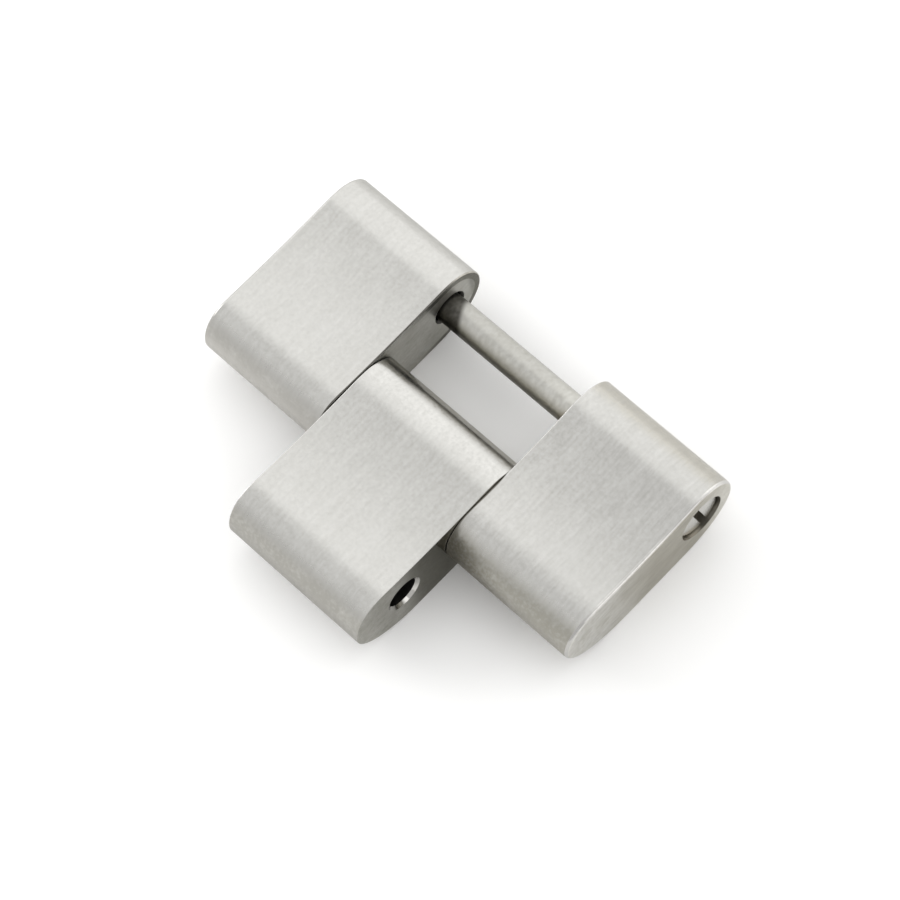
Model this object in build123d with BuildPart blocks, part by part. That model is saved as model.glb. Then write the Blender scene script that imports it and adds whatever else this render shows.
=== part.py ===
# Watch bracelet link: one unit of a three-row metal bracelet.
# Two outer links carry a screw pin at one end and a fixed pin at the other.
# The centre link turns on the fixed pin and reaches half a step towards the next unit.
#
# Lengths are in millimetres. X runs along the pins, +Y towards the screwed ends and +Z up.
# The origin is the middle of the unit's outline, on the surface that it rests on.

import os
from math import cos, radians, sin

from build123d import *

os.makedirs("parts", exist_ok=True)

# Outline shared by all three links, seen along the pins
link_thickness = 3.4
hole_pitch = 4.5
far_margin = 1.6
near_margin = 2.4
pin_height = 1.85
top_far_run = 1.5
top_near_run = 1.25
under_far_run = 2.5
under_near_run = 2.9
edge_break = 0.12

# Widths across the bracelet
outer_width = 5.7
centre_width = 6.4
side_clearance = 0.1

# Pins and the bores that they run in
pin_diameter = 1.2
turning_clearance = 0.05
bore_chamfer = 0.14

# Fixed pin, pressed into both outer links
press_depth = 2.4
press_end_gap = 0.2
press_lead_in = 0.15

# Screw pin: recessed head with a slot, plain shank and threaded tip
head_diameter = 1.9
head_length = 1.2
head_clearance = 0.04
head_recess = 0.15
head_rim_break = 0.06
slot_width = 0.3
slot_depth = 0.45
slot_lean_degrees = 14
shank_entry = 0.8
entry_chamfer = 0.1
thread_diameter = 1.0
thread_length = 2.2
thread_clearance = 0.02
thread_end_gap = 0.3
thread_tip_break = 0.15

# Places that follow from the sizes
inner_face_x = centre_width / 2 + side_clearance
outer_face_x = inner_face_x + outer_width
unit_length = near_margin + 2 * hole_pitch + far_margin
screw_y = unit_length / 2 - far_margin
fixed_pin_y = screw_y - hole_pitch
next_unit_y = fixed_pin_y - hole_pitch
pin_radius = pin_diameter / 2
running_radius = pin_radius + turning_clearance


def draw_link_outline(far_hole_y):
    """Draw a link's outline on a YZ sketch: two flats joined by quarter ellipses."""
    far_y = far_hole_y + far_margin
    near_y = far_hole_y - hole_pitch - near_margin
    top_rise = link_thickness - pin_height
    top_near = (near_y + top_near_run, pin_height)
    top_far = (far_y - top_far_run, pin_height)
    under_near = (near_y + under_near_run, pin_height)
    under_far = (far_y - under_far_run, pin_height)
    EllipticalCenterArc(top_far, top_far_run, top_rise, start_angle=0, arc_size=90)
    Line((top_far[0], link_thickness), (top_near[0], link_thickness))
    EllipticalCenterArc(top_near, top_near_run, top_rise, start_angle=90, arc_size=90)
    EllipticalCenterArc(under_near, under_near_run, pin_height, start_angle=180, arc_size=90)
    Line((under_near[0], 0), (under_far[0], 0))
    EllipticalCenterArc(under_far, under_far_run, pin_height, start_angle=270, arc_size=90)


def drill_plane(face_x, hole_y, outward):
    """Return the plane on a side face that a hole is drilled from."""
    return Plane(origin=(face_x, hole_y, pin_height), z_dir=(outward, 0, 0))


# Left outer link: blind tapped hole for the screw's tip, blind hole for the fixed pin
with BuildPart() as outer_link_left:
    with BuildSketch(Plane.YZ.offset(-outer_face_x)):
        with BuildLine():
            draw_link_outline(screw_y)
        make_face()
    extrude(amount=outer_width)
    chamfer(faces().filter_by(Axis.X).edges(), edge_break)
    with Locations(drill_plane(-inner_face_x, screw_y, 1)):
        CounterBoreHole(
            radius=thread_diameter / 2 + thread_clearance,
            counter_bore_radius=running_radius,
            counter_bore_depth=shank_entry,
            depth=shank_entry + thread_length + thread_end_gap,
        )
    with Locations(drill_plane(-inner_face_x, fixed_pin_y, 1)):
        Hole(pin_radius, depth=press_depth)
    screw_mouth = faces().sort_by(Axis.X)[-1].edges().filter_by(GeomType.CIRCLE).sort_by(Axis.Y)[-1]
    chamfer(screw_mouth, entry_chamfer)
outer_link_left.part.label = "outer_link_left"

# Right outer link: through hole counterbored for the screw's head, blind hole for the fixed pin
with BuildPart() as outer_link_right:
    with BuildSketch(Plane.YZ.offset(inner_face_x)):
        with BuildLine():
            draw_link_outline(screw_y)
        make_face()
    extrude(amount=outer_width)
    chamfer(faces().filter_by(Axis.X).edges(), edge_break)
    with Locations(drill_plane(outer_face_x, screw_y, 1)):
        CounterBoreHole(
            radius=running_radius,
            counter_bore_radius=head_diameter / 2 + head_clearance,
            counter_bore_depth=head_length + head_recess,
            depth=outer_width,
        )
    with Locations(drill_plane(inner_face_x, fixed_pin_y, -1)):
        Hole(pin_radius, depth=press_depth)
    shank_mouth = faces().sort_by(Axis.X)[0].edges().filter_by(GeomType.CIRCLE).sort_by(Axis.Y)[-1]
    chamfer(shank_mouth, entry_chamfer)
outer_link_right.part.label = "outer_link_right"

# Centre link: turns on the fixed pin, and its near bore takes the next unit's screw pin
with BuildPart() as centre_link:
    with BuildSketch(Plane.YZ.offset(-centre_width / 2)):
        with BuildLine():
            draw_link_outline(fixed_pin_y)
        make_face()
    extrude(amount=centre_width)
    chamfer(faces().filter_by(Axis.X).edges(), edge_break)
    for bore_y in (fixed_pin_y, next_unit_y):
        with Locations(drill_plane(centre_width / 2, bore_y, 1)):
            Hole(running_radius, depth=centre_width)
    chamfer(faces().filter_by(Axis.X).edges().filter_by(GeomType.CIRCLE), bore_chamfer)
centre_link.part.label = "centre_link"

# Fixed pin: plain rod with a lead-in at each end
fixed_pin_half_length = inner_face_x + press_depth - press_end_gap
with BuildPart() as fixed_pin:
    with BuildSketch(drill_plane(-fixed_pin_half_length, fixed_pin_y, 1)):
        Circle(pin_radius)
    extrude(amount=2 * fixed_pin_half_length)
    chamfer(edges().filter_by(GeomType.CIRCLE), press_lead_in)
fixed_pin.part.label = "fixed_pin"

# Screw pin: turned from the head's face to the threaded tip, then slotted
head_face_x = outer_face_x - head_recess
head_seat_x = head_face_x - head_length
shank_end_x = -inner_face_x - shank_entry
thread_tip_x = shank_end_x - thread_length
head_radius = head_diameter / 2
thread_radius = thread_diameter / 2
screw_section = Plane(origin=(0, screw_y, pin_height), x_dir=(1, 0, 0), z_dir=(0, -1, 0))
slot_lean = radians(slot_lean_degrees)
slot_plane = Plane(
    origin=(head_face_x, screw_y, pin_height),
    x_dir=(0, -sin(slot_lean), cos(slot_lean)),
    z_dir=(1, 0, 0),
)
with BuildPart() as screw_pin:
    with BuildSketch(screw_section):
        with BuildLine():
            Polyline(
                (thread_tip_x, 0),
                (thread_tip_x, thread_radius - thread_tip_break),
                (thread_tip_x + thread_tip_break, thread_radius),
                (shank_end_x, thread_radius),
                (shank_end_x, pin_radius),
                (head_seat_x, pin_radius),
                (head_seat_x, head_radius),
                (head_face_x - head_rim_break, head_radius),
                (head_face_x, head_radius - head_rim_break),
                (head_face_x, 0),
                close=True,
            )
        make_face()
    revolve(axis=Axis((0, screw_y, pin_height), (1, 0, 0)))
    with BuildSketch(slot_plane):
        Rectangle(2 * head_diameter, slot_width)
    extrude(amount=-slot_depth, mode=Mode.SUBTRACT)
screw_pin.part.label = "screw_pin"

export_step(outer_link_left.part, "parts/outer_link_left.step")
export_step(outer_link_right.part, "parts/outer_link_right.step")
export_step(centre_link.part, "parts/centre_link.step")
export_step(fixed_pin.part, "parts/fixed_pin.step")
export_step(screw_pin.part, "parts/screw_pin.step")
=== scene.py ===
from math import asin, cos, pi, radians, sin

import bmesh
import bpy
from mathutils import Matrix, Vector


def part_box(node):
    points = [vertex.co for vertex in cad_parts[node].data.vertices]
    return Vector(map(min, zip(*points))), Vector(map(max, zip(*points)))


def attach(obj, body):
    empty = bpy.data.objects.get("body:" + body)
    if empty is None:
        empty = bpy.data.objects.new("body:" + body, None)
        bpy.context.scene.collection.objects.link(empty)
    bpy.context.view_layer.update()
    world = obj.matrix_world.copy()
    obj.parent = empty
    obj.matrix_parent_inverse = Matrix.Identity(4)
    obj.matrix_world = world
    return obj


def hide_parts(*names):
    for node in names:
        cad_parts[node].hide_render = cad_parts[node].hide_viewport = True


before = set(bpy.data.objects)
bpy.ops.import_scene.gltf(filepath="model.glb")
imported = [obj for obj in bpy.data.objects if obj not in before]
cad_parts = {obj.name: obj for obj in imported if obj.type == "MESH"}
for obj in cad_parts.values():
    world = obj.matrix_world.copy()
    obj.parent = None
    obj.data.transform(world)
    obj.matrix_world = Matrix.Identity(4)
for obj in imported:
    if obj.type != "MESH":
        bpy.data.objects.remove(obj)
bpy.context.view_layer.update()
scene = bpy.context.scene
print("frame loaded")

# pieces are shaped in millimetres, the frame is in metres
mm = 0.001


class Wire:
    # an output socket of a shader tree; arithmetic on it adds Math nodes
    def __init__(self, tree, socket=None):
        self.tree = tree
        self.socket = socket

    def node(self, kind, settings=None, sockets=None, output=0):
        made = self.tree.nodes.new(kind)
        for name, value in (settings or {}).items():
            setattr(made, name, value)
        for name, value in (sockets or {}).items():
            if isinstance(value, Wire):
                self.tree.links.new(value.socket, made.inputs[name])
            else:
                made.inputs[name].default_value = value
        return Wire(self.tree, made.outputs[output] if made.outputs else None)

    def maths(self, operation, first, second):
        return self.node("ShaderNodeMath", {"operation": operation}, {0: first, 1: second})

    def __add__(self, other):
        return self.maths("ADD", self, other)

    def __radd__(self, other):
        return self.maths("ADD", other, self)

    def __sub__(self, other):
        return self.maths("SUBTRACT", self, other)

    def __rsub__(self, other):
        return self.maths("SUBTRACT", other, self)

    def __mul__(self, other):
        return self.maths("MULTIPLY", self, other)

    def __rmul__(self, other):
        return self.maths("MULTIPLY", other, self)

    def mixColour(self, first, second, blend="MIX"):
        # sockets 0, 6 and 7 are the factor and the two colours, and output 2 is the mixed colour
        settings = {"data_type": "RGBA", "blend_type": blend, "clamp_factor": True}
        return self.node("ShaderNodeMix", settings, {0: self, 6: first, 7: second}, 2)


def newMaterial(name):
    material = bpy.data.materials.new(name)
    material.use_nodes = True
    material.node_tree.nodes.clear()
    return material, Wire(material.node_tree)


# noise is turned off the axes, so that its lattice never lines up with a face
noiseTurn = (0.7, 0.5, 0.3)
noiseRoughness = 0.6
noiseMiddle = 0.5


def grainNoise(tree, scales, detail, offset):
    # scales are cycles per millimetre along X, Y and Z, and a low one draws the grain out
    place = tree.node("ShaderNodeTexCoord", {}, {}, "Object")
    mapped = tree.node("ShaderNodeMapping", {}, {
        "Vector": place,
        "Location": offset,
        "Rotation": noiseTurn,
        "Scale": tuple(scale / mm for scale in scales),
    })
    return tree.node("ShaderNodeTexNoise", {}, {
        "Vector": mapped, "Scale": 1.0, "Detail": detail, "Roughness": noiseRoughness,
    })


def weigh(noises, weights):
    # sum of noises, each counted from its middle value
    return sum((noises[key] - noiseMiddle) * weight for key, weight in weights.items())


def ramp(tree, cast):
    # 0 to 1 from start to stop, in millimetres along an axis,
    # once the part is turned by some degrees about X, Y and Z
    place = tree.node("ShaderNodeTexCoord", {}, {}, "Object")
    turn = tuple(radians(angle) for angle in cast.get("turn", (0, 0, 0)))
    turned = tree.node("ShaderNodeMapping", {}, {"Vector": place, "Rotation": turn})
    along = tree.node("ShaderNodeSeparateXYZ", {}, {"Vector": turned}, cast["axis"])
    return tree.node("ShaderNodeMapRange", {"interpolation_type": "SMOOTHSTEP"}, {
        "Value": along, "From Min": cast["start"] * mm, "From Max": cast["stop"] * mm,
    })


# what breaks up a cast, and how much of the cast an even surface would get
patchWeights = {"grain": 1.4, "cloud": 0.8}
evenShare = 0.95


def steel(name, look):
    # layers weigh the noises that shade the surface, and relief gives their depths in millimetres
    material, tree = newMaterial(name)
    noises = {key: grainNoise(tree, **noise) for key, noise in look["noises"].items()}
    shade = weigh(noises, look["layers"]) + noiseMiddle
    tone = tree.node("ShaderNodeClamp", {}, {"Value": shade})
    colour = tone.mixColour((*look["dark"], 1), (*look["light"], 1))
    rough = look["roughness"] + (shade - noiseMiddle) * look["roughSpread"]
    for cast in look.get("casts", ()):
        # a zone of painted shade or painted light, some also tinted or rougher, that comes in unevenly
        # along one axis
        amount = ramp(tree, cast) * (weigh(noises, patchWeights) * look["patchiness"] + evenShare)
        colour = amount.mixColour(colour, (*cast["tint"], 1), "MULTIPLY")
        if "rougher" in cast:
            rough = rough + amount * cast["rougher"]
    height = sum(noises[key] * depth for key, depth in look["relief"].items())
    bump = tree.node("ShaderNodeBump", {}, {"Strength": 1.0, "Distance": mm, "Height": height})
    shader = tree.node("ShaderNodeBsdfPrincipled", {}, {
        "Base Color": colour, "Roughness": rough, "Normal": bump,
        "Metallic": 1.0, "Specular Tint": (*look["edgeTint"], 1),
    })
    tree.node("ShaderNodeOutputMaterial", {}, {"Surface": shader})
    return material


def grey(level):
    return (level, level, level)


# satin faces: short hairlines along the bracelet, on over the rounded ends
brushed = {
    "light": (0.61, 0.605, 0.582),
    "dark": (0.46, 0.453, 0.428),
    "edgeTint": (0.62, 0.62, 0.61),
    "roughness": 0.23,
    "roughSpread": 0.12,
    "patchiness": 1.1,
    "noises": {
        "grain": {"scales": (7.0, 7.0, 7.0), "detail": 1.0, "offset": (3, 5, 2)},
        "hairline": {"scales": (7.0, 1.6, 1.6), "detail": 1.0, "offset": (0, 0, 0)},
        "streak": {"scales": (7.0, 0.25, 0.25), "detail": 2.0, "offset": (7, 3, 1)},
        "cloud": {"scales": (0.8, 0.45, 0.45), "detail": 2.0, "offset": (2, 9, 4)},
        "dimple": {"scales": (2.5, 2.0, 2.0), "detail": 2.0, "offset": (6, 2, 3)},
    },
    "layers": {"grain": 0.6, "hairline": 0.38, "streak": 0.4, "cloud": 0.35},
    "relief": {"grain": 0.001, "hairline": 0.0012, "streak": 0.0008, "dimple": 0.0015},
}

# each link's near rounding is rougher and darkened with painted shade, with painted light at its foot,
# and each far rounding has painted light at its foot; with these turns Y climbs the near rounding,
# and goes down the far one
nearTurn = (-45, 0, 0)
farTurn = (45, 0, 0)
dullShadedNear = {
    "axis": "Y", "turn": nearTurn, "start": 1.6, "stop": 0.7, "tint": (0.79, 0.78, 0.765), "rougher": 0.22,
}
paintedFootLight = {"axis": "Y", "turn": nearTurn, "start": 0.72, "stop": -0.1, "tint": (1.42, 1.42, 1.44)}
paintedFarFootLight = {"axis": "Y", "turn": farTurn, "start": 2.3, "stop": 2.8, "tint": grey(1.12)}
brushedLeft = {**brushed, "casts": (dullShadedNear, paintedFootLight, paintedFarFootLight)}

# the right link is a darker copy with stronger grain, darker still towards its right (painted shade),
# with painted shade at its near left corner beside the centre link, a darker, warmer band partway
# down its far rounding, and painted light at the feet of both roundings
brushedRight = {
    **brushed,
    "light": (0.588, 0.583, 0.561),
    "dark": (0.444, 0.437, 0.413),
    "layers": {"grain": 0.75, "hairline": 0.5, "streak": 0.6, "cloud": 0.5},
    "casts": (
        # painted shade, growing towards the right side
        {"axis": "X", "start": 3.5, "stop": 8.5, "tint": grey(0.955)},
        {**dullShadedNear, "stop": 0.75, "tint": (0.70, 0.685, 0.635)},
        {**paintedFootLight, "start": 0.62, "tint": (1.3, 1.3, 1.33)},
        # painted shade at the near left corner, beside the centre link
        {"axis": "Y", "turn": (-45, 0, 30), "start": 3.4, "stop": 2.1, "tint": (0.56, 0.545, 0.51)},
        {"axis": "Y", "turn": farTurn, "start": 1.4, "stop": 2.0, "tint": (0.92, 0.90, 0.85)},
        {"axis": "Y", "turn": farTurn, "start": 2.15, "stop": 2.8, "tint": (1.35, 1.35, 1.37)},
    ),
}

# the centre link's near rounding has painted shade, with painted light at its foot; its far rounding
# has painted light at its top, painted shade lower down and painted light at its foot
brushedCentre = {**brushed, "casts": (
    {**dullShadedNear, "start": -1.6, "stop": -2.4, "tint": (0.735, 0.725, 0.70)},
    {**paintedFootLight, "start": -2.5, "stop": -3.2, "tint": (1.16, 1.16, 1.18)},
    {"axis": "Y", "turn": farTurn, "start": -2.1, "stop": -1.6, "tint": grey(1.07)},
    {"axis": "Y", "turn": farTurn, "start": -1.42, "stop": -0.93, "tint": (0.55, 0.54, 0.52)},
    {"axis": "Y", "turn": farTurn, "start": -0.78, "stop": -0.58, "tint": (1.6, 1.6, 1.57)},
)}

# machined inner faces: darker, with a faint mottle
fineGrain = {"scales": (6.0, 6.0, 6.0), "detail": 1.0, "offset": (3, 5, 2)}
side = {
    "light": (0.43, 0.425, 0.405),
    "dark": (0.26, 0.252, 0.225),
    "edgeTint": (0.75, 0.75, 0.72),
    "roughness": 0.15,
    "roughSpread": 0.12,
    "patchiness": 0.6,
    "noises": {
        "grain": fineGrain,
        "hairline": {"scales": (3.0, 1.2, 7.0), "detail": 2.0, "offset": (0, 0, 0)},
        "cloud": {"scales": (1.2, 0.9, 1.2), "detail": 3.0, "offset": (5, 1, 8)},
    },
    "layers": {"grain": 1.1, "hairline": 1.0, "cloud": 1.2},
    "relief": {"hairline": 0.001, "cloud": 0.004},
}
# the left link's inner face: a lighter copy of the side finish (painted light), with painted shade towards
# its far end
sideLeft = {
    **side,
    "light": (0.53, 0.525, 0.50),
    "dark": (0.35, 0.342, 0.31),
    "roughness": 0.36,
    "casts": (
        {"axis": "Y", "start": 5.1, "stop": 5.9, "tint": grey(0.89)},
        {"axis": "Y", "start": 5.86, "stop": 6.1, "tint": (0.6, 0.6, 0.59)},
    ),
}
# the rim band of the left link's inner face: painted shade from about y 2.6 on to its far end
sideBand = {**sideLeft, "casts": (
    {"axis": "Y", "start": 2.6, "stop": 4.6, "tint": (0.36, 0.355, 0.34)},
    {"axis": "Y", "start": 5.5, "stop": 6.1, "tint": (0.78, 0.78, 0.77)},
)}
# the centre link's side faces: painted shade beside the right link's near end, from about y -4 to y -1
sideCentre = {**side, "casts": (
    {"axis": "Y", "start": -4.4, "stop": -3.1, "tint": (0.36, 0.35, 0.33)},
    {"axis": "Y", "start": -2.1, "stop": -1.1, "tint": grey(2.6)},
)}

# polished outer flank: lighter, with a darker, warmer middle (painted reflection of the shaded floor)
# and painted light towards its far end
flank = {
    **side,
    "light": (0.73, 0.725, 0.71),
    "dark": (0.49, 0.475, 0.435),
    "edgeTint": (0.8, 0.8, 0.78),
    "roughness": 0.12,
    "roughSpread": 0.1,
    "layers": {"grain": 1.1, "hairline": 1.3, "cloud": 1.8},
    "casts": (
        {"axis": "Y", "start": -1.0, "stop": 3.0, "tint": (0.645, 0.62, 0.56)},
        {"axis": "Y", "start": 4.6, "stop": 6.3, "tint": (1.35, 1.38, 1.45)},
    ),
}

# bright chamfers round the bores
mouth = {
    "light": (0.54, 0.53, 0.505),
    "dark": (0.40, 0.39, 0.365),
    "edgeTint": grey(0.9),
    "roughness": 0.12,
    "roughSpread": 0.1,
    "noises": {"cloud": {"scales": (2.0, 2.0, 2.0), "detail": 2.0, "offset": (1, 4, 2)}},
    "layers": {"cloud": 0.8},
    "relief": {"cloud": 0.001},
}

# inside the bores: nearly black, painted shade
boreCloud = {"scales": (2.0, 2.0, 2.0), "detail": 2.0, "offset": (4, 4, 7)}
bored = {
    "light": (0.10, 0.098, 0.09),
    "dark": (0.04, 0.038, 0.034),
    "edgeTint": grey(0.6),
    "roughness": 0.4,
    "roughSpread": 0.2,
    "noises": {"cloud": boreCloud},
    "layers": {"cloud": 1.0},
    "relief": {"cloud": 0.002},
}

# round the screw's head: dark with painted shade in the recess, and lighter on the near side with painted
# light
headBore = {
    **bored,
    "light": (0.32, 0.305, 0.265),
    "dark": (0.16, 0.15, 0.125),
    "patchiness": 0.3,
    "noises": {"grain": fineGrain, "cloud": boreCloud},
    "layers": {"cloud": 1.5},
    "casts": ({"axis": "Y", "start": 5.1, "stop": 4.5, "tint": (1.7, 1.65, 1.6)},),
}

# the edges' finishes, copies of one polished rim with painted light and shade: bright on the right
# link's outer rim and on the left rims of the right and centre links, dark on the left link's inner rim
rim = {
    "light": (0.51, 0.505, 0.49),
    "dark": (0.44, 0.43, 0.41),
    "edgeTint": grey(0.9),
    "roughness": 0.2,
    "roughSpread": 0.1,
    "patchiness": 0.6,
    "noises": {
        "grain": fineGrain,
        "cloud": {"scales": (0.8, 0.8, 0.8), "detail": 2.0, "offset": (8, 1, 1)},
    },
    "layers": {"grain": 0.7, "cloud": 1.0},
    "relief": {"cloud": 0.001},
}
# the right link's outer rim: painted highlights and painted shade along it
rimRight = {**rim, "casts": (
    {"axis": "Y", "start": -1.1, "stop": -0.1, "tint": grey(1.4)},
    {"axis": "Y", "start": 2.8, "stop": 3.8, "tint": grey(0.8)},
    {"axis": "Y", "start": 5.0, "stop": 5.5, "tint": grey(1.35)},
    {"axis": "Y", "start": 5.7, "stop": 6.3, "tint": grey(0.72)},
)}
# the left link's inner rim: painted shade, with painted light at its far end
rimShadedLeft = {
    **rim,
    "light": (0.16, 0.155, 0.14),
    "dark": (0.09, 0.086, 0.075),
    "edgeTint": grey(0.6),
    "casts": ({"axis": "Y", "start": 4.9, "stop": 5.6, "tint": grey(3.4)},),
}
# a painted highlight along the left rims of the right and centre links
rimHighlight = {**rim, "light": (0.68, 0.675, 0.66), "dark": (0.58, 0.57, 0.55)}

# turned pins: faint rings round the pin
turned = {
    "light": (0.485, 0.48, 0.45),
    "dark": (0.38, 0.372, 0.34),
    "edgeTint": (0.8, 0.8, 0.78),
    "roughness": 0.37,
    "roughSpread": 0.15,
    "patchiness": 0.3,
    "noises": {
        "ring": {"scales": (7.0, 0.4, 0.4), "detail": 2.0, "offset": (0, 0, 0)},
        "grain": {"scales": (6.0, 4.0, 4.0), "detail": 1.0, "offset": (3, 5, 2)},
        "cloud": {"scales": (0.9, 0.9, 0.9), "detail": 2.0, "offset": (3, 3, 6)},
    },
    "layers": {"ring": 0.3, "grain": 1.6, "cloud": 0.6},
    "relief": {"ring": 0.002},
}

# the screw is lighter towards its head and on its far side (painted light) and warmer on its near side,
# with painted shade along its near side, on its underside and where it enters the outer links
turnedScrew = {**turned, "casts": (
    {"axis": "X", "start": 0.5, "stop": 3.3, "tint": grey(1.15)},
    {"axis": "Y", "start": 5.15, "stop": 5.4, "tint": (1.07, 1.07, 1.08)},
    {"axis": "Y", "start": 4.75, "stop": 4.45, "tint": (1.0, 0.985, 0.95)},
    {"axis": "Y", "start": 4.41, "stop": 4.31, "tint": (0.37, 0.362, 0.34)},
    {"axis": "Z", "start": 2.0, "stop": 1.7, "tint": (0.5, 0.5, 0.48)},
    {"axis": "X", "turn": (0, 0, -28), "start": 0.16, "stop": -0.1, "tint": (0.16, 0.155, 0.145)},
    {"axis": "X", "turn": (0, 0, 45), "start": -1.4, "stop": -0.9, "tint": (0.64, 0.58, 0.48)},
)}
slot = {**bored, "light": (0.45, 0.43, 0.39), "dark": (0.36, 0.34, 0.305), "roughness": 0.5}
head = {
    **mouth,
    "light": (0.66, 0.655, 0.635),
    "dark": (0.54, 0.53, 0.50),
    "roughness": 0.25,
    "layers": {"cloud": 1.0},
    "relief": {"cloud": 0.002},
}

looks = {
    "brushedLeft": brushedLeft, "brushedRight": brushedRight, "brushedCentre": brushedCentre,
    "side": side, "sideLeft": sideLeft, "sideBand": sideBand, "sideCentre": sideCentre, "flank": flank,
    "mouth": mouth, "bored": bored, "headBore": headBore,
    "rimRight": rimRight, "rimShadedLeft": rimShadedLeft, "rimHighlight": rimHighlight,
    "turned": turned, "turnedScrew": turnedScrew, "slot": slot, "head": head,
}
finishes = {name: steel(name + "Steel", look) for name, look in looks.items()}
print("materials made")


# shaping helpers, all in millimetres;
# points nearer than weld become one, and edges shorter than sliver go
weld = 0.0005
sliver = 0.0002
roundSteps = 72
crease = radians(35)


def meshObject(name, bm):
    mesh = bpy.data.meshes.new(name)
    bm.to_mesh(mesh)
    bm.free()
    piece = bpy.data.objects.new(name, mesh)
    scene.collection.objects.link(piece)
    return piece


def turnedShape(profile, y, z):
    # profile is a row of (x, radius) points, closed on the axis at both ends
    bm = bmesh.new()
    verts = [bm.verts.new((x, y, z + radius)) for x, radius in profile]
    edges = [bm.edges.new(pair) for pair in zip(verts, verts[1:])]
    bmesh.ops.spin(bm, geom=verts + edges, cent=(0, y, z), axis=(1, 0, 0), angle=2 * pi,
                   steps=roundSteps, use_merge=True)
    bmesh.ops.remove_doubles(bm, verts=bm.verts, dist=weld)
    bmesh.ops.recalc_face_normals(bm, faces=bm.faces)
    return bm


def combine(piece, tool, operation="DIFFERENCE"):
    modifier = piece.modifiers.new("combine", "BOOLEAN")
    modifier.object = tool
    modifier.operation = operation
    modifier.solver = "EXACT"
    bpy.context.view_layer.update()
    evaluated = piece.evaluated_get(bpy.context.evaluated_depsgraph_get())
    result = bpy.data.meshes.new_from_object(evaluated)
    piece.modifiers.clear()
    piece.data = result
    bpy.data.objects.remove(tool)


def dress(piece, finish, pick, body, node):
    # finish names the material of each zone, and pick(face) gives a face's zone
    zones = list(finish)
    bm = bmesh.new()
    bm.from_mesh(piece.data)
    bmesh.ops.remove_doubles(bm, verts=bm.verts, dist=weld)
    bmesh.ops.dissolve_degenerate(bm, edges=bm.edges, dist=sliver)
    bm.normal_update()
    for face in bm.faces:
        face.smooth = True
        face.material_index = zones.index(pick(face))
    for edge in bm.edges:
        edge.smooth = edge.is_manifold and edge.calc_face_angle() < crease
    bmesh.ops.scale(bm, vec=(mm, mm, mm), verts=bm.verts)
    # clearing the slots resets the faces' indices, so they are written after it
    piece.data.materials.clear()
    for name in finish.values():
        piece.data.materials.append(finishes[name])
    bm.to_mesh(piece.data)
    bm.free()
    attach(piece, body)
    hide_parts(node)


# the outline that all three links share
linkShape = {
    "pinHeight": 1.85,
    "topFarRun": 1.5,
    "underFarRun": 2.5,
    "underNearRun": 2.9,
    "edgeSteps": 3,
    "arcSteps": 20,
    "flatSteps": 80,
    "farBlend": 0.15,
    "support": 0.03,
}
pinZ = linkShape["pinHeight"]

# shares of a face's normal that lie along X: brushed faces stay under satin, chamfers of
# bores pass mouth, side faces pass edge and flat, and exactly square ones pass wall
facing = {"satin": 0.06, "mouth": 0.5, "edge": 0.9, "flat": 0.94, "wall": 0.9999}
smallArea = 1.0


def slopeAt(y, knots):
    for (y0, slope0), (y1, slope1) in zip(knots, knots[1:]):
        if y <= y1:
            return slope0 + (slope1 - slope0) * (y - y0) / (y1 - y0)
    return knots[-1][1]


def topProfile(look, start, stop, rise):
    # The brushing wheel leaves the flat faintly hollow between two soft crests.
    # Its slope runs on from the near rounding, through the hollow, into the far one.
    first, last = start - look["nearBlend"], stop + linkShape["farBlend"]
    knots = (
        (first, rise * look["nearBlend"] / look["nearRun"] ** 2),
        (start + look["nearCrest"], -look["nearSlope"]),
        (stop - look["farCrest"], look["farSlope"]),
        (last, -rise * linkShape["farBlend"] / linkShape["topFarRun"] ** 2),
    )
    steps = linkShape["flatSteps"]
    step = (last - first) / steps
    heights = [0]
    for i in range(steps):
        y = first + i * step
        heights.append(heights[-1] + step * (slopeAt(y, knots) + slopeAt(y + step, knots)) / 2)
    crest = max(heights)
    return [height - crest for height in heights]


def stretchedArc(bm, middle, run, height, angle, sweep):
    # part of a unit circle round X, stretched to its run and height; gives its two ends
    known = set(bm.verts)
    first = bm.verts.new(middle + Vector((0, cos(angle), sin(angle))))
    spun = bmesh.ops.spin(bm, geom=[first], cent=middle, axis=(1, 0, 0), angle=sweep,
                          steps=linkShape["arcSteps"])
    arc = [vert for vert in bm.verts if vert not in known]
    bmesh.ops.scale(bm, vec=(1, run, height), space=Matrix.Translation(-middle), verts=arc)
    last = next(item for item in spun["geom_last"] if isinstance(item, bmesh.types.BMVert))
    return first, last


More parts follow.
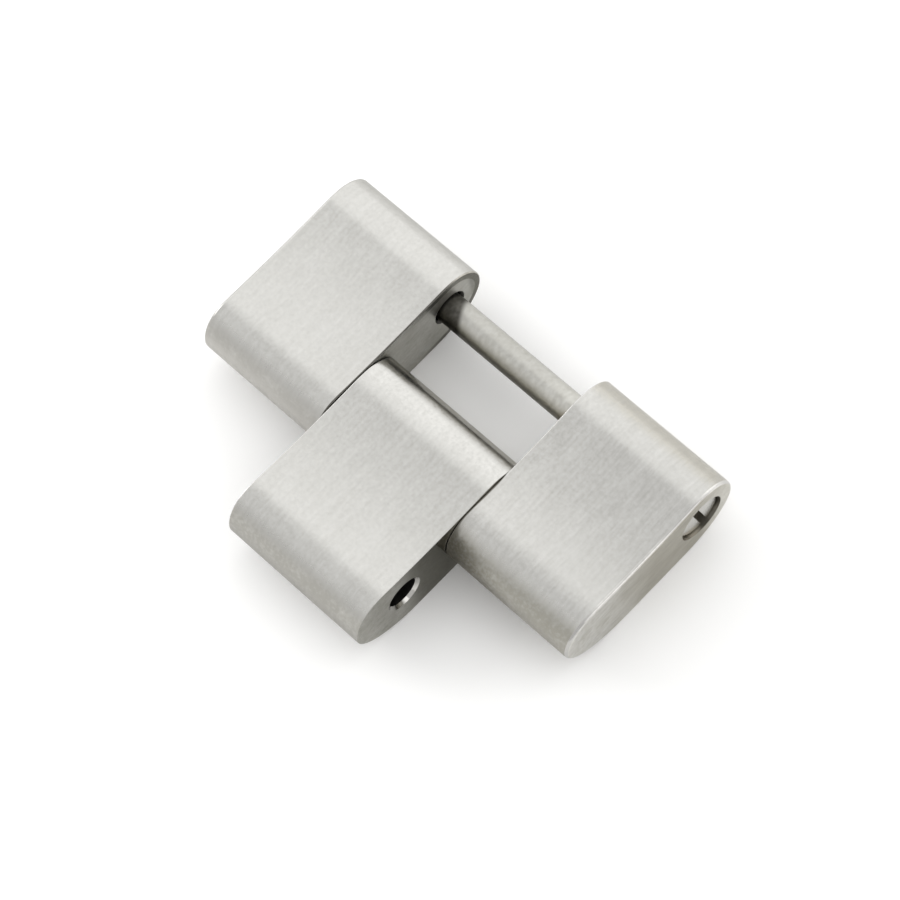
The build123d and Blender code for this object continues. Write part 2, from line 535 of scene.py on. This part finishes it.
def drawOutline(bm, look, low, high):
    # four roundings joined by a hollow top and a plain underside, in the plane of the low face
    rise = high.z - pinZ
    start, stop = low.y + look["nearRun"], high.y - linkShape["topFarRun"]
    top = topProfile(look, start, stop, rise)
    farTrim = asin(linkShape["farBlend"] / linkShape["topFarRun"])
    nearTrim = asin(look["nearBlend"] / look["nearRun"])
    underNear, underFar = linkShape["underNearRun"], linkShape["underFarRun"]
    # each rounding: middle, run, height, first angle and sweep
    corners = (
        (stop, linkShape["topFarRun"], (rise + top[-1]) / cos(farTrim), 0, pi / 2 - farTrim),
        (start, look["nearRun"], (rise + top[0]) / cos(nearTrim), pi / 2 + nearTrim, pi / 2 - nearTrim),
        (low.y + underNear, underNear, pinZ, pi, pi / 2),
        (high.y - underFar, underFar, pinZ, 3 * pi / 2, pi / 2),
    )
    ends = [stretchedArc(bm, Vector((low.x, middleY, pinZ)), *shape) for middleY, *shape in corners]
    joins = []
    for (_, last), (first, _) in zip(ends, ends[1:] + ends[:1]):
        if (last.co - first.co).length > weld:
            joins.append(bm.edges.new((last, first)))
    # the first join is the top, and takes the hollow's heights
    bmesh.ops.subdivide_edges(bm, edges=joins[:1], cuts=linkShape["flatSteps"] - 1)
    nearEnd, farEnd = start - look["nearBlend"] - weld, stop + linkShape["farBlend"] + weld
    flat = [vert for vert in bm.verts if vert.co.z > pinZ and nearEnd < vert.co.y < farEnd]
    for vert, height in zip(sorted(flat, key=lambda vert: vert.co.y), top):
        vert.co.z = high.z + height
    bmesh.ops.remove_doubles(bm, verts=bm.verts, dist=weld)


def linkBlank(name, node, look):
    low, high = (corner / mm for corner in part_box(node))
    # in the photo the links are pushed together, so each side face takes up some of its play
    low += Vector((look["leftPlay"], look["nearPlay"], 0))
    high += Vector((look["rightPlay"], look["farPlay"], 0))
    bm = bmesh.new()
    drawOutline(bm, look, low, high)
    face = bmesh.ops.contextual_create(bm, geom=bm.edges[:])["faces"][0]
    grown = bmesh.ops.extrude_face_region(bm, geom=[face])["geom"]
    moved = [item for item in grown if isinstance(item, bmesh.types.BMVert)]
    bmesh.ops.translate(bm, vec=(high.x - low.x, 0, 0), verts=moved)
    bmesh.ops.recalc_face_normals(bm, faces=bm.faces)
    for way, offset in ((-1, look["leftEdge"]), (1, look["rightEdge"])):
        rimEdges = [edge for edge in bm.edges
                    if any(face.normal.x * way > facing["edge"] for face in edge.link_faces)]
        bmesh.ops.bevel(bm, geom=rimEdges, offset=offset, offset_type="OFFSET",
                        segments=linkShape["edgeSteps"], profile=0.5, affect="EDGES", material=-1)
    # narrow strips beside the rims keep the shading of the wide faces flat
    support = linkShape["support"]
    for x in (low.x + look["leftEdge"] + support, high.x - look["rightEdge"] - support):
        bmesh.ops.bisect_plane(bm, geom=bm.verts[:] + bm.edges[:] + bm.faces[:], dist=weld,
                               plane_co=(x, 0, 0), plane_no=(1, 0, 0))
    for way, width in ((-1, support), (1, support), (1, look["band"])):
        if width:
            bm.normal_update()
            wall = [face for face in bm.faces
                    if face.normal.x * way > facing["wall"] and face.calc_area() > smallArea]
            bmesh.ops.inset_region(bm, faces=wall, thickness=width)
    return meshObject(name, bm), low, high


# bores and pins, as in the frame; margin is how far past a bore's edge its faces are looked for
pins = {
    "radius": 0.6,
    "running": 0.65,
    "mouth": 0.12,
    "entryMouth": 0.1,
    "entryDepth": 0.8,
    "headBore": 0.99,
    "headDepth": 1.35,
    "overrun": 0.5,
    "margin": 0.01,
}


def drill(piece, start, stop, radius, mouths, y):
    # cuts a round hole from start to stop along X, on past both by the overrun,
    # and flares it at the faces in mouths
    over = pins["overrun"]
    profile = [(start - over, 0)]
    if start in mouths:
        profile += [(start - over, radius + mouths[start] + over), (start + mouths[start], radius)]
    else:
        profile += [(start - over, radius)]
    if stop in mouths:
        profile += [(stop - mouths[stop], radius), (stop + over, radius + mouths[stop] + over)]
    else:
        profile += [(stop + over, radius)]
    profile += [(stop + over, 0)]
    combine(piece, meshObject("cutter", turnedShape(profile, y, pinZ)))


def zonePicker(holes, flankWay=0, hasBand=False):
    # holes maps the place of each bore along Y to the radius that holds its faces,
    # and flankWay is the way along X that a polished flank faces
    def pick(face):
        centre = face.calc_center_median()
        across = abs(face.normal.x)
        small = face.calc_area() < smallArea
        for y, radius in holes.items():
            if small and (centre.y - y) ** 2 + (centre.z - pinZ) ** 2 < radius ** 2:
                return "mouth" if across > facing["mouth"] else "bore"
        if across < facing["satin"]:
            return "satin"
        if across < facing["flat"]:
            return "rightRim" if face.normal.x > 0 else "leftRim"
        if face.normal.x * flankWay > 0:
            return "flank"
        return "band" if hasBand and small and face.normal.x > 0 else "side"
    return pick


screwBox = [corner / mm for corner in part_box("screw_pin")]
fixedBox = [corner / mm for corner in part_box("fixed_pin")]
screwY = (screwBox[0].y + screwBox[1].y) / 2
fixedY = (fixedBox[0].y + fixedBox[1].y) / 2
nextY = 2 * fixedY - screwY


# slopes of the hollow are rise over run, at its near and far ends;
# edge is the width of a rim, and play is how far a side is moved along its axis
outerLeft = {
    "nearRun": 1.2, "nearBlend": 0.055, "nearCrest": 0.4, "nearSlope": 0.04,
    "farCrest": 0.4, "farSlope": 0.062,
    "leftEdge": 0.08, "rightEdge": 0.06, "band": 0.2,
    "leftPlay": 0, "rightPlay": 0.03, "nearPlay": 0, "farPlay": 0,
    "finish": {
        "satin": "brushedLeft", "leftRim": "brushedLeft", "rightRim": "rimShadedLeft",
        "side": "sideLeft", "band": "sideBand", "flank": "flank", "bore": "bored", "mouth": "bored",
    },
}


def makeOuterLeft():
    piece, _, high = linkBlank("outerLinkLeft", "outer_link_left", outerLeft)
    mouths = {high.x: pins["entryMouth"]}
    drill(piece, high.x - pins["entryDepth"], high.x, pins["running"], mouths, screwY)
    drill(piece, fixedBox[0].x, high.x, pins["radius"], {}, fixedY)
    holes = {
        screwY: pins["running"] + pins["entryMouth"] + pins["margin"],
        fixedY: pins["radius"] + pins["margin"],
    }
    dress(piece, outerLeft["finish"], zonePicker(holes, flankWay=-1, hasBand=True),
          "outer_links", "outer_link_left")


outerRight = {
    "nearRun": 1.3, "nearBlend": 0.055, "nearCrest": 0.55, "nearSlope": 0.042,
    "farCrest": 0.5, "farSlope": 0.108,
    "leftEdge": 0.035, "rightEdge": 0.13, "band": 0,
    "leftPlay": -0.13, "rightPlay": 0, "nearPlay": 0, "farPlay": 0,
    "finish": {
        "satin": "brushedRight", "leftRim": "rimHighlight", "rightRim": "rimRight",
        "side": "side", "flank": "flank", "bore": "headBore", "mouth": "side",
    },
}


def makeOuterRight():
    piece, low, high = linkBlank("outerLinkRight", "outer_link_right", outerRight)
    floorX = high.x - pins["headDepth"]
    drill(piece, low.x, high.x, pins["running"], {low.x: pins["entryMouth"]}, screwY)
    drill(piece, floorX + pins["overrun"], high.x, pins["headBore"], {}, screwY)
    drill(piece, low.x, fixedBox[1].x, pins["radius"], {}, fixedY)
    holes = {
        screwY: pins["headBore"] + pins["margin"],
        fixedY: pins["radius"] + pins["margin"],
    }
    dress(piece, outerRight["finish"], zonePicker(holes, flankWay=1),
          "outer_links", "outer_link_right")


centreLink = {
    "nearRun": 1.25, "nearBlend": 0.055, "nearCrest": 0.48, "nearSlope": 0.07,
    "farCrest": 0.5, "farSlope": 0.066,
    "leftEdge": 0.03, "rightEdge": 0.02, "band": 0,
    "leftPlay": -0.03, "rightPlay": -0.04, "nearPlay": 0.03, "farPlay": 0.06,
    "finish": {
        "satin": "brushedCentre", "leftRim": "rimHighlight", "rightRim": "brushedCentre",
        "side": "sideCentre", "bore": "bored", "mouth": "mouth",
    },
}


def makeCentre():
    piece, low, high = linkBlank("centreLink", "centre_link", centreLink)
    mouths = {low.x: pins["mouth"], high.x: pins["mouth"]}
    for y in (fixedY, nextY):
        drill(piece, low.x, high.x, pins["running"], mouths, y)
    reach = pins["running"] + pins["mouth"] + pins["margin"]
    dress(piece, centreLink["finish"], zonePicker({fixedY: reach, nextY: reach}),
          "centre", "centre_link")


# the screw pin: head, shank and threaded tip; the ridge's peak and end are shares of the lead,
# and slack is how far off a limit a face still counts as on it
screw = {
    "headRadius": 0.95,
    "headLength": 1.2,
    "rim": 0.06,
    "shankEnd": 2.2,
    "tip": 0.15,
    "threadRoot": 0.4,
    "threadCrest": 0.49,
    "threadSunk": 0.05,
    "threadLead": 0.25,
    "ridgePeak": 0.5,
    "ridgeEnd": 0.9,
    "threadSteps": 40,
    "slotWidth": 0.3,
    "slotDepth": 0.45,
    "slotLean": 14,
    "slack": 0.01,
    "finish": {"shank": "turnedScrew", "face": "head", "slot": "slot"},
}


def makeThread(low, shankEnd):
    # one closed ridge wound round the tip
    bm = bmesh.new()
    lead = screw["threadLead"]
    start = low.x + screw["tip"] / 2
    turns = int((shankEnd - start - lead) / lead)
    foot = screw["threadRoot"] - screw["threadSunk"]
    peakX, endX = (start + lead * screw[key] for key in ("ridgePeak", "ridgeEnd"))
    section = ((start, foot), (peakX, screw["threadCrest"]), (endX, foot))
    ridge = bm.faces.new([bm.verts.new((x, screwY, pinZ + radius)) for x, radius in section])
    bmesh.ops.spin(bm, geom=[ridge], cent=(0, screwY, pinZ), axis=(1, 0, 0), angle=2 * pi * turns,
                   dvec=(lead / screw["threadSteps"], 0, 0), steps=screw["threadSteps"] * turns)
    bmesh.ops.remove_doubles(bm, verts=bm.verts, dist=weld)
    bmesh.ops.recalc_face_normals(bm, faces=bm.faces)
    return meshObject("thread", bm)


def makeScrewSlot(faceX):
    # a bar across the head, longer than the head is wide
    bm = bmesh.new()
    bmesh.ops.create_cube(bm, size=1)
    size = (2 * screw["slotDepth"], screw["slotWidth"], 3 * screw["headRadius"])
    bmesh.ops.scale(bm, vec=size, verts=bm.verts)
    lean = Matrix.Rotation(radians(screw["slotLean"]), 3, "X")
    bmesh.ops.rotate(bm, cent=(0, 0, 0), matrix=lean, verts=bm.verts)
    bmesh.ops.translate(bm, vec=(faceX, screwY, pinZ), verts=bm.verts)
    return meshObject("screwSlot", bm)


def makeScrew():
    low, high = screwBox
    faceX = high.x
    seat = faceX - screw["headLength"]
    shankEnd = low.x + screw["shankEnd"]
    headRadius, rimWidth, slack = screw["headRadius"], screw["rim"], screw["slack"]
    root, radius = screw["threadRoot"], pins["radius"]
    profile = [
        (low.x, 0), (low.x, root - screw["tip"]), (low.x + screw["tip"], root),
        (shankEnd, root), (shankEnd, radius - rimWidth), (shankEnd + rimWidth, radius),
        (seat, radius), (seat, headRadius), (faceX - rimWidth, headRadius),
        (faceX, headRadius - rimWidth), (faceX, 0),
    ]
    piece = meshObject("screwPin", turnedShape(profile, screwY, pinZ))
    combine(piece, makeThread(low, shankEnd), "UNION")
    combine(piece, makeScrewSlot(faceX))

    def pick(face):
        centre = face.calc_center_median()
        away = Vector((centre.y - screwY, centre.z - pinZ)).length
        if centre.x < faceX - screw["slotDepth"] - slack or away > headRadius - rimWidth - 2 * slack:
            return "shank"
        onFace = face.normal.x > facing["edge"] and centre.x > faceX - slack
        return "face" if onFace else "slot"

    dress(piece, screw["finish"], pick, "screw", "screw_pin")


fixedPin = {"leadIn": 0.15, "finish": {"shank": "turned"}}


def makeFixedPin():
    low, high = fixedBox
    leadIn, radius = fixedPin["leadIn"], pins["radius"]
    profile = [
        (low.x, 0), (low.x, radius - leadIn), (low.x + leadIn, radius),
        (high.x - leadIn, radius), (high.x, radius - leadIn), (high.x, 0),
    ]
    piece = meshObject("fixedPin", turnedShape(profile, fixedY, pinZ))
    dress(piece, fixedPin["finish"], lambda face: "shank", "outer_links", "fixed_pin")


makeOuterLeft()
makeOuterRight()
makeCentre()
makeScrew()
makeFixedPin()
print("pieces made")


# studio: a pale floor in a pale room that is dimmer on its right and near sides;
# the room's stops are shares of a ray's direction along X and Y
studio = {
    "floorSize": 1.5,
    "floorSides": 64,
    "floorDrop": 0.00001,
    "floorSeen": (1.0, 0.998, 0.99),
    "floorBounce": (0.65, 0.645, 0.63),
    "roomLeft": 0.98,
    "roomRight": 0.87,
    "acrossStops": (-0.2, 0.6),
    "roomNear": 0.9,
    "awayStops": (-1.0, -0.4),
}


def makeFloor():
    bm = bmesh.new()
    bmesh.ops.create_circle(bm, cap_ends=True, segments=studio["floorSides"], radius=studio["floorSize"])
    bmesh.ops.translate(bm, vec=(0, 0, -studio["floorDrop"]), verts=bm.verts)
    floor = meshObject("floor", bm)
    material, tree = newMaterial("paleFloor")
    # the floor shows white, and throws back less light than it shows
    seen = sum(tree.node("ShaderNodeLightPath", {}, {}, ray)
               for ray in ("Is Camera Ray", "Is Glossy Ray", "Is Transmission Ray"))
    colour = seen.mixColour((*studio["floorBounce"], 1), (*studio["floorSeen"], 1))
    diffuse = tree.node("ShaderNodeBsdfDiffuse", {}, {"Color": colour})
    tree.node("ShaderNodeOutputMaterial", {}, {"Surface": diffuse})
    floor.data.materials.append(material)


def makeRoom():
    world = bpy.data.worlds.new("paleRoom")
    scene.world = world
    world.use_nodes = True
    world.node_tree.nodes.clear()
    tree = Wire(world.node_tree)
    towards = tree.node("ShaderNodeTexCoord", {}, {}, "Generated")
    across = tree.node("ShaderNodeSeparateXYZ", {}, {"Vector": towards}, "X")
    away = tree.node("ShaderNodeSeparateXYZ", {}, {"Vector": towards}, "Y")
    left, right = studio["acrossStops"]
    sideways = tree.node("ShaderNodeMapRange", {"interpolation_type": "SMOOTHSTEP"}, {
        "Value": across, "From Min": left, "From Max": right,
        "To Min": studio["roomLeft"], "To Max": studio["roomRight"],
    })
    near, far = studio["awayStops"]
    lengthways = tree.node("ShaderNodeMapRange", {}, {
        "Value": away, "From Min": near, "From Max": far, "To Min": studio["roomNear"], "To Max": 1.0,
    })
    strength = sideways * lengthways
    glow = tree.node("ShaderNodeBackground", {}, {"Color": (1, 1, 1, 1), "Strength": strength})
    tree.node("ShaderNodeOutputWorld", {}, {"Surface": glow})


# a wide soft box beyond the far end, a window high on the left and a strip high on the right;
# near and far are the middles of two opposite sides, and glow is what a mirror would show
lamps = {
    "softBox": {"near": (-0.1, 0.130, 0.586), "far": (-0.1, 0.60, 0.02), "width": 1.4, "glow": 0.45},
    "window": {"near": (-0.40, -0.10, 0.40), "far": (-0.52, -0.13, 0.16), "width": 0.36, "glow": 2.8},
    "strip": {"near": (0.52, 0.10, 0.34), "far": (0.58, 0.12, 0.18), "width": 0.3, "glow": 1.1},
}


def makeLamps():
    for name, lamp in lamps.items():
        # each lamp faces the part
        near, far = Vector(lamp["near"]), Vector(lamp["far"])
        upward = (far - near).normalized()
        outward = (near + far).normalized()
        across = upward.cross(outward).normalized()
        outward = across.cross(upward)
        data = bpy.data.lights.new(name, "AREA")
        data.shape = "RECTANGLE"
        data.size = lamp["width"]
        data.size_y = (far - near).length
        data.energy = lamp["glow"] * pi * data.size * data.size_y
        light = bpy.data.objects.new(name, data)
        turn = Matrix((across, upward, outward)).transposed().to_4x4()
        light.matrix_world = Matrix.Translation((near + far) / 2) @ turn
        light.visible_camera = False
        scene.collection.objects.link(light)


# the photograph's viewpoint, in degrees and millimetres; the lens is a share of the sensor
viewpoint = {
    "azimuth": 57.1,
    "elevation": 67.14,
    "roll": -14.375,
    "distance": 127.77,
    "aim": (0.532, 0.930, 1.7),
    "focalShare": 3.9905,
    "sensor": 36.0,
    "clipStart": 5.0,
}


def makeCamera():
    azimuth, elevation, roll = (radians(viewpoint[key]) for key in ("azimuth", "elevation", "roll"))
    back = Vector((sin(azimuth) * cos(elevation), -cos(azimuth) * cos(elevation), sin(elevation)))
    level = Vector((cos(azimuth), sin(azimuth), 0))
    upright = back.cross(level)
    right = level * cos(roll) + upright * sin(roll)
    up = upright * cos(roll) - level * sin(roll)
    data = bpy.data.cameras.new("photoCamera")
    data.sensor_width = viewpoint["sensor"]
    data.lens = viewpoint["focalShare"] * viewpoint["sensor"]
    data.clip_start = viewpoint["clipStart"] * mm
    camera = bpy.data.objects.new("photoCamera", data)
    turn = Matrix((right, up, back)).transposed().to_4x4()
    place = (Vector(viewpoint["aim"]) + back * viewpoint["distance"]) * mm
    camera.matrix_world = Matrix.Translation(place) @ turn
    scene.collection.objects.link(camera)
    scene.camera = camera


makeFloor()
makeRoom()
makeLamps()
makeCamera()
scene.view_settings.view_transform = "Standard"
print("studio made")
